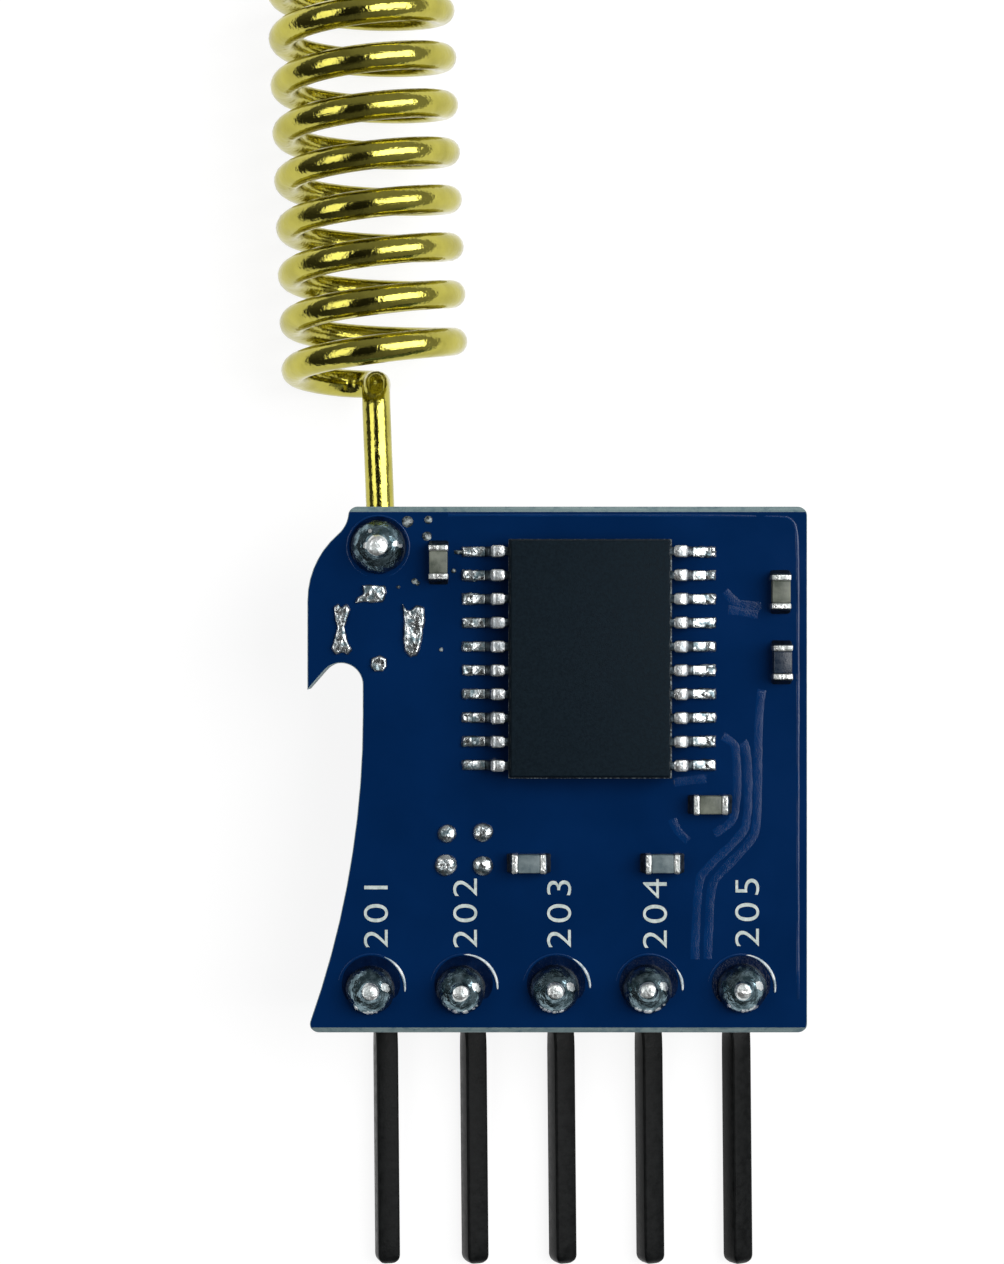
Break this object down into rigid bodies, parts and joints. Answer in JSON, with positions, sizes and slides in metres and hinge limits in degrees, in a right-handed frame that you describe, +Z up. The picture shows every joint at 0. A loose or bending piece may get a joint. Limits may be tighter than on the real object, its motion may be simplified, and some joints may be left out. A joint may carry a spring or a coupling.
{
  "type": "radio module",
  "caption": "Notched circuit board with a small-outline chip, a soldered spring antenna and a pin header that is bent to run off the board's end.",
  "frame": {"origin": "middle of the footprint of the module as it lies, at the level it lies on", "axes": "+Z up out of the component side of the board, +Y from the header to the antenna, +X along the header to the square side of the board"},
  "size_m": [0.015, 0.038, 0.0066],
  "materials": {
    "solder_mask": "glossy blue solder mask over glass-fibre board",
    "black_plastic": "moulded black",
    "dark_pin": "dark plated square wire",
    "solder": "bright solder",
    "gilt_wire": "bright drawn wire",
    "chip_plastic": "fine moulded grain",
    "tinned_lead": "matt tin plate",
    "end_cap": "tinned end cap",
    "brown_ceramic": "fired ceramic",
    "grey_ceramic": "fired ceramic",
    "black_ceramic": "glazed ceramic"
  },
  "bodies": {
    "root": {"circuit_board": "solder_mask", "header_strip": "black_plastic", "header_pin_1": "dark_pin", "header_pin_2": "dark_pin", "header_pin_3": "dark_pin", "header_pin_4": "dark_pin", "header_pin_5": "dark_pin", "header_joint_1": "solder", "header_joint_2": "solder", "header_joint_3": "solder", "header_joint_4": "solder", "header_joint_5": "solder", "spring_antenna": "gilt_wire", "antenna_joint": "solder", "chip_body": "chip_plastic", "chip_lead_01": "tinned_lead", "chip_lead_02": "tinned_lead", "chip_lead_03": "tinned_lead", "chip_lead_04": "tinned_lead", "chip_lead_05": "tinned_lead", "chip_lead_06": "tinned_lead", "chip_lead_07": "tinned_lead", "chip_lead_08": "tinned_lead", "chip_lead_09": "tinned_lead", "chip_lead_10": "tinned_lead", "chip_lead_11": "tinned_lead", "chip_lead_12": "tinned_lead", "chip_lead_13": "tinned_lead", "chip_lead_14": "tinned_lead", "chip_lead_15": "tinned_lead", "chip_lead_16": "tinned_lead", "chip_lead_17": "tinned_lead", "chip_lead_18": "tinned_lead", "chip_lead_19": "tinned_lead", "chip_lead_20": "tinned_lead", "chip_solder": "solder", "capacitor_1_body": "brown_ceramic", "capacitor_1_ends": "end_cap", "capacitor_2_body": "brown_ceramic", "capacitor_2_ends": "end_cap", "capacitor_3_body": "brown_ceramic", "capacitor_3_ends": "end_cap", "capacitor_4_body": "grey_ceramic", "capacitor_4_ends": "end_cap", "capacitor_5_body": "grey_ceramic", "capacitor_5_ends": "end_cap", "resistor_body": "black_ceramic", "resistor_ends": "end_cap", "tinned_land_left": "solder", "tinned_land_right": "solder", "tinned_land_top": "solder", "tinned_land_bottom": "solder", "test_land_solder": "solder"}
  },
  "joints": []
}
